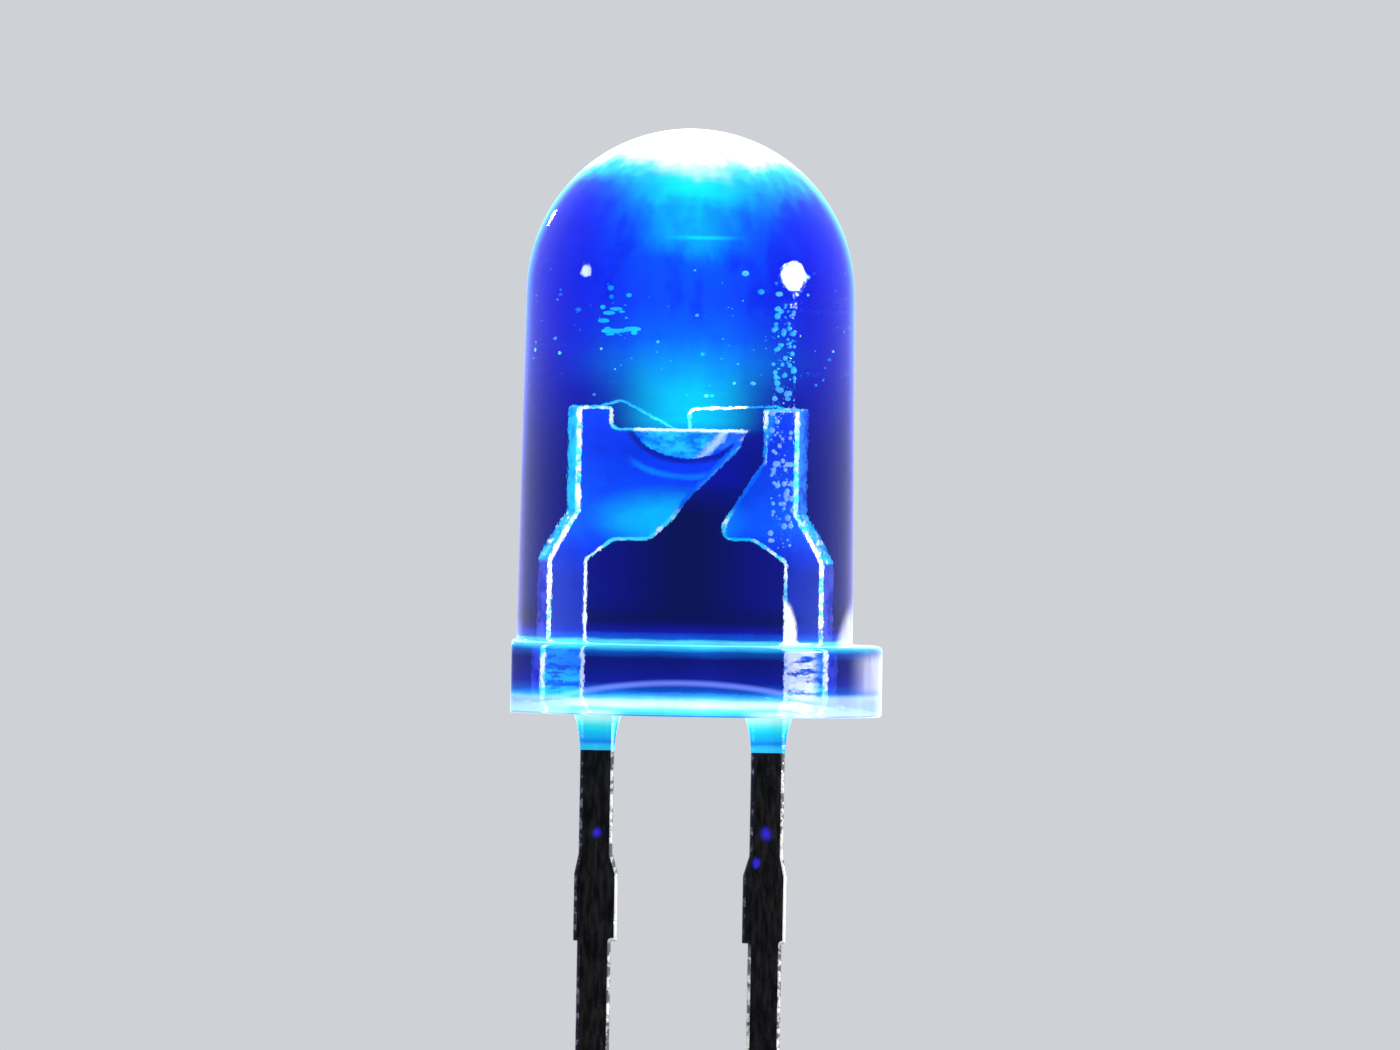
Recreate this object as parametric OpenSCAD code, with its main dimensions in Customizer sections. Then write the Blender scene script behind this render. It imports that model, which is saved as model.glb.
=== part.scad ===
// Round through-hole LED: a cast epoxy lens around two stamped leads, a die and its bond wires.
// Z = 0 is the plane that the flange seats on, with the body's axis on Z and the dome upwards.
// The cathode lead is on the -X side, by the flange's flat. All sizes are in millimetres.

/* [Lens] */
// Height from the seating plane to the dome's tip
lens_h = 8.7; // [7.5:0.1:11]
// Diameter of the body where it meets the flange
body_d = 5; // [4.2:0.1:6.5]
// Mould draft of the body's side, in degrees
body_draft = 0.65; // [0:0.05:1.5]
// Thickness of the flange
flange_t = 1.05; // [0.8:0.05:1.5]
// How far the flange stands out from the body
flange_lip = 0.45; // [0.3:0.05:0.8]
// How far the flange's flat stands out from the body
flat_lip = 0.06; // [0.02:0.01:0.2]
// Rounding of the flange's upper edge
flange_edge_r = 0.08; // [0.02:0.01:0.15]
// Depth of the dished underside
dish_depth = 0.35; // [0.1:0.05:0.5]
// Flat ring left around the dish, measured in from the body's side
dish_rim = 0.08; // [0.02:0.02:0.3]

/* [Epoxy sleeves] */
// How far the epoxy creeps down each lead below the seating plane
sleeve_h = 0.56; // [0.2:0.02:1]
// Epoxy left on the lead at the sleeve's lower end
sleeve_t = 0.02; // [0.01:0.01:0.05]
// Radius of the sleeve's hollow sides
sleeve_flare_r = 1.55; // [1.2:0.05:3]

/* [Leads] */
// Distance between the two leads' centre lines
lead_pitch = 2.54; // [2:0.02:3.2]
// Width of each lead
lead_w = 0.5; // [0.4:0.02:0.6]
// Thickness of the sheet that both leads are stamped from
sheet_t = 0.4; // [0.35:0.01:0.6]
// Length of the cathode lead below the seating plane
cathode_length = 25.4; // [10:0.2:31]
// How much longer the anode lead is
anode_extra = 2; // [0.5:0.1:4]
// Depth of the seating plane above the tie bar's cut-off stubs
stub_drop = 2.1; // [1:0.1:3]
// Height of the stubs, with their slanted shoulder
stub_h = 1.3; // [0.8:0.1:2]
// Height of the stubs' slanted shoulder
stub_slope_h = 0.3; // [0.1:0.05:0.4]
// How far the stubs stand out on the leads' facing sides
stub_inner = 0.09; // [0.02:0.01:0.2]
// How far the stubs stand out on the leads' outer sides
stub_outer = 0.06; // [0.02:0.01:0.2]

/* [Lead frame] */
// Height of both posts' tops
post_top = 4.55; // [4.2:0.05:5.6]
// How far the posts' outer sides step in above the shoulders
post_jog = 0.35; // [0.2:0.01:0.45]
// Height where the shoulders start
shoulder_z = 2.26; // [2:0.02:2.7]
// Height of the sloping shoulders
shoulder_h = 0.73; // [0.3:0.01:0.9]
// Height of the webs' lower edges
web_z = 2.56; // [2.4:0.01:2.9]
// Height of the sloping haunches where the webs meet the leads
haunch_h = 0.3; // [0.1:0.02:0.5]
// Width of the haunches
haunch_w = 0.28; // [0.1:0.02:0.3]
// Gap between the cup's rim and the anode post
post_gap = 0.18; // [0.1:0.01:0.3]

/* [Reflector cup] */
// Drop from the posts' tops to the cup's rim
cup_drop = 0.32; // [0.2:0.02:0.5]
// Depth of the cup
cup_depth = 0.31; // [0.26:0.01:0.4]
// Flare of the cup's wall, in degrees from its axis
cup_flare = 33; // [20:1:40]
// Wall of the cup at its rim
cup_rim_t = 0.12; // [0.06:0.01:0.15]
// Metal under the cup's floor
cup_floor_t = 0.16; // [0.1:0.01:0.25]
// How far the anvil's side stands in from the cup's rim
anvil_inset = 0.05; // [0.02:0.01:0.08]

/* [Die] */
// Side of the square die
die_w = 0.3; // [0.22:0.01:0.36]
// Thickness of the die
die_t = 0.1; // [0.08:0.01:0.14]
// Depth of the etched corner that holds the cathode pad
mesa_h = 0.01; // [0.005:0.001:0.02]
// Radius of the die's two contact pads
pad_r = 0.04; // [0.03:0.005:0.04]
// Thickness of the contact pads
pad_t = 0.005; // [0.003:0.001:0.01]
// Adhesive under the die
attach_t = 0.015; // [0.01:0.005:0.03]
// Height that the adhesive climbs up the die's sides
attach_climb = 0.03; // [0.01:0.005:0.05]
// Width of the adhesive's fillet beyond the die's corners
attach_margin = 0.03; // [0.01:0.005:0.05]

/* [Bond wires] */
// Diameter of the bond wire
wire_d = 0.03; // [0.02:0.005:0.04]
// Radius of the wires' bends
wire_bend_r = 0.09; // [0.06:0.01:0.15]
// Drop from the posts' tops to the anode wire's first bend
anode_kink = 0.02; // [0.01:0.01:0.1]
// Angle of the anode wire's long run above the horizontal, in degrees
anode_rise = 4; // [3:1:10]
// Drop from the posts' tops to the cathode wire's first bend
cathode_kink = 0.3; // [0.2:0.01:0.35]
// Angle of the cathode wire's long run above the horizontal, in degrees
cathode_rise = 38; // [20:1:45]
// Angle at which both wires come down to land, in degrees
landing_angle = 24; // [10:1:45]
// Radius of the ball bonds on the die
ball_r = 0.035; // [0.03:0.005:0.04]
// Radius of the stitch bonds on the posts
stitch_r = 0.06; // [0.04:0.005:0.08]
// Thickness of the stitch bonds
stitch_t = 0.015; // [0.01:0.005:0.02]

/* [Hidden] */
$fn = 64;
// Number of flats that stand for each rounded corner of the stamped outlines
corner_steps = 5;
// How far a cutting shape reaches past what it cuts
over = 0.5;

body_r = body_d / 2;
flange_r = body_r + flange_lip;
flat_x = -(body_r + flat_lip);

// The dome is a sphere that the drafted side runs into without a crease
side_slope = tan(body_draft);
dome_r = (body_r - (lens_h - flange_t) * side_slope) / (1 / cos(body_draft) - side_slope);
dome_z = lens_h - dome_r;
side_top_z = dome_z + dome_r * sin(body_draft);
side_top_r = dome_r * cos(body_draft);

dish_r = body_r - dish_rim;
dish_sphere_r = (dish_r * dish_r + dish_depth * dish_depth) / (2 * dish_depth);

lead_x = lead_pitch / 2;
lead_outer = lead_x + lead_w / 2;
lead_inner = lead_x - lead_w / 2;
lead_shear = 0.08;
post_outer = lead_outer - post_jog;

// The cup is sized from the die outwards
die_corner_r = die_w / 2 * sqrt(2);
attach_r = die_corner_r + attach_margin;
cup_floor_r = attach_r + 0.03;
cup_rim_r = cup_floor_r + cup_depth * tan(cup_flare);
bowl_rim_r = cup_rim_r + cup_rim_t;
bowl_depth = cup_depth + cup_floor_t;
bowl_sphere_r = (bowl_rim_r * bowl_rim_r + bowl_depth * bowl_depth) / (2 * bowl_depth);
cup_z = post_top - cup_drop;
cup_floor_z = cup_z - cup_depth;

// The anvil's side hangs from just inside the rim, and its underside slopes back to the web
anvil_side_x = bowl_rim_r - anvil_inset;
anvil_side = [anvil_side_x - 0.035, cup_z - 0.26];
anvil_knee = [0, web_z + 0.61];
anvil_shin = [-0.12, web_z + 0.34];
anvil_heel = [-0.38, web_z];
anvil_step_x = -(bowl_rim_r + 0.17);
platform_x = anvil_step_x - 0.01;

// The anode post keeps its gap from the rim, and its foot reaches under the anvil
post_inner = bowl_rim_r + post_gap;
post_inner_z = cup_z - 0.46;
anode_toe = [post_inner - 0.42, web_z + 0.27];
anode_heel = [post_inner - 0.41, web_z + 0.02];

die_z = cup_floor_z + attach_t;
die_top_z = die_z + die_t;
cathode_pad_x = -(die_w / 2 - pad_r - 0.015);
anode_pad_x = cathode_pad_x + 2 * pad_r + 0.03;
anode_pad_z = die_top_z + pad_t;
cathode_pad_z = die_top_z - mesa_h + pad_t;
wire_r = wire_d / 2;
ball_sink = 0.02;

anode_landing_x = post_inner + 0.45 * (post_outer - post_inner);
cathode_landing_x = platform_x - 0.26 * (post_outer + platform_x);

// Stamped outlines: each corner is [x, z, rounding]

function unit(v) = v / norm(v);

// The points that round corner b, between neighbours a and c, with radius r
function corner(a, b, c, r) =
    r == 0 ? [b] :
    let (
        u = unit(a - b),
        v = unit(c - b),
        half = acos(u * v) / 2,
        centre = b + unit(u + v) * r / sin(half),
        first = b + u * r / tan(half) - centre,
        last = b + v * r / tan(half) - centre,
        turn = 180 - 2 * half
    )
    [for (i = [0 : corner_steps])
        let (t = turn * i / corner_steps)
        centre + (first * sin(turn - t) + last * sin(t)) / sin(turn)];

function xz(p) = [p[0], p[1]];

function rounded(points) =
    let (n = len(points))
    [for (i = [0 : n - 1])
        each corner(xz(points[(i + n - 1) % n]), xz(points[i]), xz(points[(i + 1) % n]), points[i][2])];

// Sheet metal cut to an outline in the XZ plane, midway on Y
module stamping(points) {
    rotate([90, 0, 0])
        linear_extrude(height = sheet_t, center = true)
            polygon(rounded(points));
}

// One side of a lead with its tie bar stub, from the tip up. side is the lead's edge,
// out points away from the lead, and stub is how far the stub stands out
function lead_side(side, out, stub) = [
    [side, -stub_drop - stub_h, 0],
    [side + out * stub, -stub_drop - stub_h, 0.02],
    [side + out * stub, -stub_drop - stub_slope_h, 0.05],
    [side, -stub_drop, 0.1]
];

function reversed(list) = [for (i = [len(list) - 1 : -1 : 0]) list[i]];

cathode_outline = concat(
    [[-lead_outer, -cathode_length + lead_shear, 0],
     [-lead_inner, -cathode_length, 0]],
    lead_side(-lead_inner, 1, stub_inner),
    [[-lead_inner, web_z - haunch_h, 0.08],
     [-lead_inner + haunch_w, web_z, 0.15],
     [anvil_heel[0], anvil_heel[1], 0.15],
     [anvil_shin[0], anvil_shin[1], 0.3],
     [anvil_knee[0], anvil_knee[1], 0.2],
     [anvil_side[0], anvil_side[1], 0.03],
     [anvil_side_x, cup_z, 0],
     [anvil_step_x, cup_z, 0.08],
     [platform_x, post_top, 0.03],
     [-post_outer, post_top, 0.03],
     [-post_outer, shoulder_z + shoulder_h, 0.12],
     [-lead_outer, shoulder_z, 0.12]],
    reversed(lead_side(-lead_outer, -1, stub_outer))
);

anode_outline = concat(
    [[lead_outer, -cathode_length - anode_extra + lead_shear, 0]],
    lead_side(lead_outer, 1, stub_outer),
    [[lead_outer, shoulder_z, 0.12],
     [post_outer, shoulder_z + shoulder_h, 0.12],
     [post_outer, post_top, 0.03],
     [post_inner, post_top, 0.05],
     [post_inner, post_inner_z, 0.12],
     [anode_toe[0], anode_toe[1], 0.12],
     [anode_heel[0], anode_heel[1], 0.12],
     [lead_inner - haunch_w - 0.06, web_z + 0.02, 0.15],
     [lead_inner, web_z - haunch_h, 0.08]],
    reversed(lead_side(lead_inner, -1, stub_inner)),
    [[lead_inner, -cathode_length - anode_extra, 0]]
);

module cup_bowl() {
    intersection() {
        translate([0, 0, cup_z - bowl_depth + bowl_sphere_r]) sphere(r = bowl_sphere_r);
        translate([-bowl_sphere_r, -bowl_sphere_r, cup_z - bowl_depth - over])
            cube([2 * bowl_sphere_r, 2 * bowl_sphere_r, bowl_depth + over]);
    }
}

// The cup's hollow, drawn past the rim at the same flare
module cup_hollow() {
    translate([0, 0, cup_floor_z])
        cylinder(
            r1 = cup_floor_r,
            r2 = cup_rim_r + over * tan(cup_flare),
            h = cup_depth + over
        );
}

module cathode_lead() {
    color("silver")
        difference() {
            union() {
                stamping(cathode_outline);
                cup_bowl();
            }
            cup_hollow();
        }
}

module anode_lead() {
    color("silver")
        stamping(anode_outline);
}

module die_block() {
    translate([-die_w / 2, -die_w / 2, die_z]) cube([die_w, die_w, die_t]);
}

module led_die() {
    color("lightcyan")
        union() {
            difference() {
                die_block();
                translate([-die_w, -pad_r - 0.02, die_top_z - mesa_h])
                    cube([die_w + cathode_pad_x + pad_r + 0.015, 2 * pad_r + 0.04, over]);
            }
            translate([anode_pad_x, 0, die_top_z]) cylinder(r = pad_r, h = pad_t);
            translate([cathode_pad_x, 0, die_top_z - mesa_h]) cylinder(r = pad_r, h = pad_t);
        }
}

// Adhesive disc under the die, with a fillet around its foot
module die_attach() {
    color("gainsboro")
        difference() {
            translate([0, 0, cup_floor_z])
                cylinder(r1 = attach_r, r2 = die_corner_r + 0.005, h = attach_climb);
            die_block();
        }
}

// A quarter-turn or less of wire, starting along +Z and turning towards +X
module wire_bend(turn) {
    translate([wire_bend_r, 0, 0])
        rotate([90, 0, 0])
            rotate([0, 0, 180 - turn])
                rotate_extrude(angle = turn)
                    translate([wire_bend_r, 0]) circle(r = wire_r);
}

// Straight stretches of wire, each followed by a bend: steps holds [length, turn]
module wire_run(steps, i = 0) {
    length = steps[i][0];
    turn = steps[i][1];
    cylinder(r = wire_r, h = length);
    if (turn > 0)
        translate([0, 0, length]) {
            wire_bend(turn);
            translate([wire_bend_r * (1 - cos(turn)), 0, wire_bend_r * sin(turn)])
                rotate([0, turn, 0])
                    wire_run(steps, i + 1);
        }
}

// A bond wire from a pad on the die at height pad_z to the top of a post, towards +X.
// It rises to kink_z, turns by first_turn, runs straight, and turns down to its landing
module bond_wire(pad_z, start_x, kink_z, first_turn, landing_x) {
    rise = kink_z - pad_z;
    heading = 90 + landing_angle;
    fall = -tan(heading);
    bend_x = start_x + wire_bend_r * (1 - cos(heading));
    bend_z = kink_z + wire_bend_r * sin(heading) - post_top;
    run = (landing_x - bend_x - bend_z * fall) / (sin(first_turn) + fall * cos(first_turn));
    drop = (bend_z + run * cos(first_turn)) / -cos(heading);
    difference() {
        union() {
            translate([start_x, 0, pad_z])
                wire_run([[rise, first_turn], [run, heading - first_turn], [drop + stitch_r, 0]]);
            translate([start_x, 0, pad_z + ball_sink]) sphere(r = ball_r);
            translate([landing_x, 0, post_top]) cylinder(r = stitch_r, h = stitch_t);
        }
        translate([landing_x - 3 * stitch_r, -stitch_r * 2, post_top - over])
            cube([6 * stitch_r, 4 * stitch_r, over]);
        translate([start_x - ball_r * 2, -ball_r * 2, pad_z - over])
            cube([ball_r * 4, ball_r * 4, over]);
    }
}

module anode_bond_wire() {
    color("gold")
        bond_wire(
            anode_pad_z,
            anode_pad_x,
            post_top - anode_kink - wire_bend_r,
            90 - anode_rise,
            anode_landing_x
        );
}

module cathode_bond_wire() {
    color("gold")
        mirror([1, 0, 0])
            bond_wire(
                cathode_pad_z,
                -cathode_pad_x,
                post_top - cathode_kink - wire_bend_r,
                90 - cathode_rise,
                -cathode_landing_x
            );
}

// Outside of the casting above the seating plane
module lens_body() {
    translate([0, 0, side_top_z])
        intersection() {
            translate([0, 0, dome_z - side_top_z]) sphere(r = dome_r);
            translate([-dome_r, -dome_r, 0]) cube([2 * dome_r, 2 * dome_r, dome_r]);
        }
    cylinder(r1 = body_r + flange_t * side_slope, r2 = side_top_r, h = side_top_z);
}

module lens_flange() {
    difference() {
        rotate_extrude() {
            square([flange_r - flange_edge_r, flange_t]);
            square([flange_r, flange_t - flange_edge_r]);
            translate([flange_r - flange_edge_r, flange_t - flange_edge_r])
                circle(r = flange_edge_r);
        }
        translate([flat_x - over, -flange_r, -over])
            cube([over, 2 * flange_r, flange_t + 2 * over]);
    }
}

// Section of a sleeve across a lead of the given width, widening upwards into the dish
module sleeve_section(width) {
    end_w = width / 2 + sleeve_t;
    difference() {
        translate([-end_w - 0.4, -sleeve_h]) square([2 * end_w + 0.8, sleeve_h + dish_depth]);
        for (side = [-1, 1])
            translate([side * (end_w + sleeve_flare_r), -sleeve_h]) circle(r = sleeve_flare_r);
    }
}

// Epoxy that crept down one lead: square in plan, with hollow sides
module lead_sleeve() {
    intersection() {
        rotate([90, 0, 0])
            linear_extrude(height = 2 * over + lead_w, center = true) sleeve_section(lead_w);
        rotate([90, 0, 90])
            linear_extrude(height = 2 * over + lead_w, center = true) sleeve_section(sheet_t);
    }
}

module lens() {
    color([0.15, 0.35, 1, 0.45])
        difference() {
            union() {
                difference() {
                    union() {
                        lens_body();
                        lens_flange();
                    }
                    translate([0, 0, dish_depth - dish_sphere_r]) sphere(r = dish_sphere_r);
                }
                for (side = [-1, 1])
                    translate([side * lead_x, 0, 0]) lead_sleeve();
            }
            cathode_lead();
            anode_lead();
            led_die();
            die_attach();
            anode_bond_wire();
            cathode_bond_wire();
        }
}

lens();
cathode_lead();
anode_lead();
led_die();
die_attach();
anode_bond_wire();
cathode_bond_wire();
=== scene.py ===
"""Looks of a lit through-hole LED: its clear epoxy lens, stamped leads, die and bond wires.

Lengths are in metres, with the seating plane at Z = 0, the dome upwards and the cathode at -X.
Materials work in millimetres. The light that the epoxy takes off is added back to what lies in it.
"""

import math

import bmesh
import bpy
from bpy.props import FloatProperty, FloatVectorProperty, IntProperty, PointerProperty
from mathutils import Matrix, Vector


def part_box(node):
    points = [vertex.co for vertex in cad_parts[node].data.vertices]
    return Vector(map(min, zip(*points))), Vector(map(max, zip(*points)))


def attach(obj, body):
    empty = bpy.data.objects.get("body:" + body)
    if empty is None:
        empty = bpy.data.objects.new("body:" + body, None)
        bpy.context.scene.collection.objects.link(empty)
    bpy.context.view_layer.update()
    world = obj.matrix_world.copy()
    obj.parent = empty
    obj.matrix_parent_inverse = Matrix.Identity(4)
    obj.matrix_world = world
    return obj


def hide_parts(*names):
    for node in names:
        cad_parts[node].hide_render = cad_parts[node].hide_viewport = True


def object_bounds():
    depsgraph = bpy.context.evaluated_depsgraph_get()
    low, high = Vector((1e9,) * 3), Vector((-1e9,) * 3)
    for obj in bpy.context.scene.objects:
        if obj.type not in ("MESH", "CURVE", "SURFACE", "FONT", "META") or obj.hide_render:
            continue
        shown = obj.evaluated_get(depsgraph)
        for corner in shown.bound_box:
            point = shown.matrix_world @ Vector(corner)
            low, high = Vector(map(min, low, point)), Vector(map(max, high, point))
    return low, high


bl_info = {
    "name": "Through-Hole LED",
    "version": (1, 0, 0),
    "blender": (4, 5, 0),
    "location": "View3D > Sidebar > LED",
    "description": "Finishes a lit round LED: lens, leads, die, bond wires and its studio",
    "category": "Object",
}

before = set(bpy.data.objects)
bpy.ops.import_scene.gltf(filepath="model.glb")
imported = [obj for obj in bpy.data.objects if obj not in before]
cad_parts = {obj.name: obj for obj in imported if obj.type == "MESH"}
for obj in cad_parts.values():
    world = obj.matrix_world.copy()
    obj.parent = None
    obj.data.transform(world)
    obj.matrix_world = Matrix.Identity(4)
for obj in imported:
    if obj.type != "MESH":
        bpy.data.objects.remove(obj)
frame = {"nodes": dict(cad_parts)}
CAD_BOX = [list(corner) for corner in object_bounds()]
MM = 0.001

LENS_LOW, LENS_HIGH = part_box("lens")
POST_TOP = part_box("anode_lead")[1][2]
ANODE_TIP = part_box("anode_lead")[0][2]
CATHODE_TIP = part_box("cathode_lead")[0][2]
SHEET_T = 2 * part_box("anode_lead")[1][1]
CUP_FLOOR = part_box("die_attach")[0][2]

# What a millimetre of the epoxy takes off red, green and blue light, as exponents
ABSORBED = (1.16, 1.02, 0.42)
# Emission strength of what glows inside the epoxy
GLOW = 14.0
# The dome's centre and radius, and the leads' distance from the axis, in mm
DOME_Z, DOME_R = 6.25, 2.45
LEAD_X = 1.27
# Material slots of a stamping: faces, cut sides, rolled edges, cut sides that face upwards inside
# the epoxy and have painted light of their own, the bowl and the cup inside it
FACE, CUT, ROLLED, SHOULDER, BOWL, CUP = range(6)


# Settings


def length(name, description, mm):
    return FloatProperty(
        name=name, description=description, default=mm * MM, min=0, unit="LENGTH", precision=6
    )


def angle(name, description, degrees):
    return FloatProperty(
        name=name, description=description, default=math.radians(degrees), subtype="ANGLE"
    )


def colour(name, description, default):
    return FloatVectorProperty(
        name=name, description=description, default=default, min=0, max=1, subtype="COLOR", size=3
    )


class LensSettings(bpy.types.PropertyGroup):
    body_d: length("Body diameter", "Diameter of the body where it meets the flange", 5.0)
    draft: angle("Draft", "Mould draft of the body's side", 0.65)
    flange_t: length("Flange", "Thickness of the flange", 1.05)
    flange_edge: length("Flange edge", "Rounding of the flange's upper edge", 0.08)
    foot_edge: length("Foot edge", "Rounding of the flange's lower edge", 0.04)
    root_fillet: length("Root fillet", "Fillet where the body meets the flange", 0.05)
    dish_r: length("Dish", "Radius of the dished underside", 2.42)
    dish_depth: length("Dish depth", "Depth of the dished underside", 0.35)
    segments: IntProperty(name="Segments", description="Flats around the lens", default=192, min=24)


class SleeveSettings(bpy.types.PropertyGroup):
    end_t: length("End", "Epoxy on the lead at the sleeve's lower end", 0.012)
    flare_r: length("Flare", "Radius of the sleeve's hollow sides", 1.55)


class FrameSettings(bpy.types.PropertyGroup):
    pitch: length("Pitch", "Distance between the leads' centre lines", 2.54)
    lead_w: length("Lead", "Width of a lead", 0.5)
    post_jog: length("Post jog", "How far the posts' outer sides step in", 0.35)
    post_gap: length("Post gap", "Gap between the cup's rim and the anode post", 0.18)
    shoulder_z: length("Shoulder", "Height where the shoulders start", 2.26)
    shoulder_h: length("Shoulder height", "Height of the sloping shoulders", 0.73)
    web_z: length("Web", "Height of the webs' lower edges", 2.56)
    stub_z: length("Stub", "Depth of the tie bar's stubs below the seating plane", 2.1)
    stub_h: length("Stub height", "Height of the tie bar's stubs", 1.3)
    roll_w: length("Rolled edge", "Width of the edge that the punch rolled over", 0.047)
    roll_t: length("Rolled depth", "Depth of the edge that the punch rolled over", 0.04)


class CupSettings(bpy.types.PropertyGroup):
    floor_r: length("Floor", "Radius of the cup's floor", 0.2721)
    rim_r: length("Rim", "Radius of the cup at its rim", 0.4734)
    bowl_r: length("Bowl", "Outer radius of the bowl at the rim", 0.5934)
    depth: length("Depth", "Depth of the cup", 0.31)
    floor_t: length("Metal", "Metal under the cup's floor", 0.16)
    rim_edge: length("Rim edge", "Rounding of the bowl's rim", 0.03)


class BubbleSettings(bpy.types.PropertyGroup):
    seed: IntProperty(name="Seed", description="Seed of the bubbles' places", default=7, min=0)
    loose: IntProperty(name="Loose", description="Bubbles loose in the body", default=220, min=0)
    streak: IntProperty(
        name="Streak", description="Bubbles caught along the mould's wall", default=300, min=0
    )
    dashes: IntProperty(name="Dashes", description="Bubbles drawn out sideways", default=16, min=0)
    flecks: IntProperty(name="Flecks", description="Small dashes over the others", default=7, min=0)
    small: length("Small", "Radius of the smallest bubble", 0.006)
    large: length("Large", "Radius of the largest loose bubble", 0.040)
    fine: length("Fine", "Radius of the largest bubble along the mould's wall", 0.05)


class StageSettings(bpy.types.PropertyGroup):
    view_w: length("View", "Width of the view at the LED", 20.83)
    distance: length("Distance", "Distance from the camera to the LED", 250)
    roll: angle("Roll", "Roll of the camera", 1.0)
    azimuth: angle("Azimuth", "Camera's angle about Z", 0.0)
    elevation: angle("Elevation", "Camera's height angle", 0.4)
    backdrop: colour("Backdrop", "Colour behind the LED", (0.62, 0.64, 0.67))


# Meshes


def as_object(name, data):
    obj = bpy.data.objects.new(name, data)
    bpy.context.scene.collection.objects.link(obj)
    return obj


def shade(mesh):
    """Smooth, except across sharp edges."""
    mesh.shade_smooth()
    mesh.set_sharp_from_angle(angle=math.radians(30))


def from_bmesh(name, bm):
    bmesh.ops.recalc_face_normals(bm, faces=bm.faces)
    mesh = bpy.data.meshes.new(name)
    bm.to_mesh(mesh)
    bm.free()
    shade(mesh)
    return as_object(name, mesh)


def bake_modifiers(obj):
    """Turns an object's modifiers into a plain mesh."""
    depsgraph = bpy.context.evaluated_depsgraph_get()
    mesh = bpy.data.meshes.new_from_object(obj.evaluated_get(depsgraph))
    obj.modifiers.clear()
    obj.data = mesh


def combine(obj, tool, operation):
    """Applies a Boolean of two closed meshes, and removes the tool."""
    cut = obj.modifiers.new("combine", "BOOLEAN")
    cut.operation = operation
    cut.solver = "EXACT"
    cut.object = tool
    bake_modifiers(obj)
    bpy.data.objects.remove(tool)


def lathe(name, profile, segments, reach=None, slot=0):
    """Turns a profile of (r, z) points about Z. reach limits r at each angle."""
    bm = bmesh.new()
    turns = [2 * math.pi * i / segments for i in range(segments)]
    rings = []
    for r, z in profile:
        if r == 0:
            rings.append([bm.verts.new((0, 0, z))])
            continue
        ring = []
        for turn in turns:
            held = min(r, reach(turn, r)) if reach else r
            ring.append(bm.verts.new((held * math.cos(turn), held * math.sin(turn), z)))
        rings.append(ring)
    for upper, lower in zip(rings, rings[1:]):
        for i in range(segments):
            j = (i + 1) % segments
            corners = (upper, i), (upper, j), (lower, j), (lower, i)
            # A ring of one point is a pole
            face = dict.fromkeys(ring[k % len(ring)] for ring, k in corners)
            bm.faces.new(list(face)).material_index = slot
    return from_bmesh(name, bm)


def arc(centre, radius, first, last, steps):
    """Points (r, z) along an arc between two angles in degrees, both ends included."""
    points = []
    for i in range(steps + 1):
        turn = math.radians(first + (last - first) * i / steps)
        points.append((centre[0] + radius * math.cos(turn), centre[1] + radius * math.sin(turn)))
    return points


def lens_profile(s):
    """The casting's outline from the dome's tip down and round to the dish's centre."""
    top = LENS_HIGH[2]
    flange_r = min(LENS_HIGH[0], LENS_HIGH[1])
    body_r = s.body_d / 2
    slope = math.tan(s.draft)
    dome_r = (body_r - (top - s.flange_t) * slope) / (1 / math.cos(s.draft) - slope)
    dome = arc((0, top - dome_r), dome_r, 90, math.degrees(s.draft), 56)
    dome[0] = (0, top)
    dome_end, dome_foot = dome[-1]
    foot_z = s.flange_t + s.root_fillet
    steps = 24
    side = [
        (
            dome_end + (body_r - dome_end) * i / steps,
            dome_foot + (foot_z - dome_foot) * i / steps,
        )
        for i in range(1, steps + 1)
    ]
    root = arc((body_r + s.root_fillet, foot_z), s.root_fillet, 180, 270, 6)[1:]
    shoulder = arc((flange_r - s.flange_edge, s.flange_t - s.flange_edge), s.flange_edge, 90, 0, 8)
    foot = arc((flange_r - s.foot_edge, s.foot_edge), s.foot_edge, 0, -90, 6)
    sphere_r = (s.dish_r**2 + s.dish_depth**2) / (2 * s.dish_depth)
    dish = []
    for i in range(13):
        r = s.dish_r * (1 - i / 12)
        dish.append((r, s.dish_depth - sphere_r + math.sqrt(sphere_r**2 - r * r)))
    dish[-1] = (0, s.dish_depth)
    return dome + side + root + shoulder + foot + dish


def flat_reach(body_r):
    """How far the flange may reach at each angle, so that its -X side is flat."""
    flat = -LENS_LOW[0]

    def reach(turn, r):
        if r <= body_r or math.cos(turn) >= 0:
            return r
        return flat / -math.cos(turn)

    return reach


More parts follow.
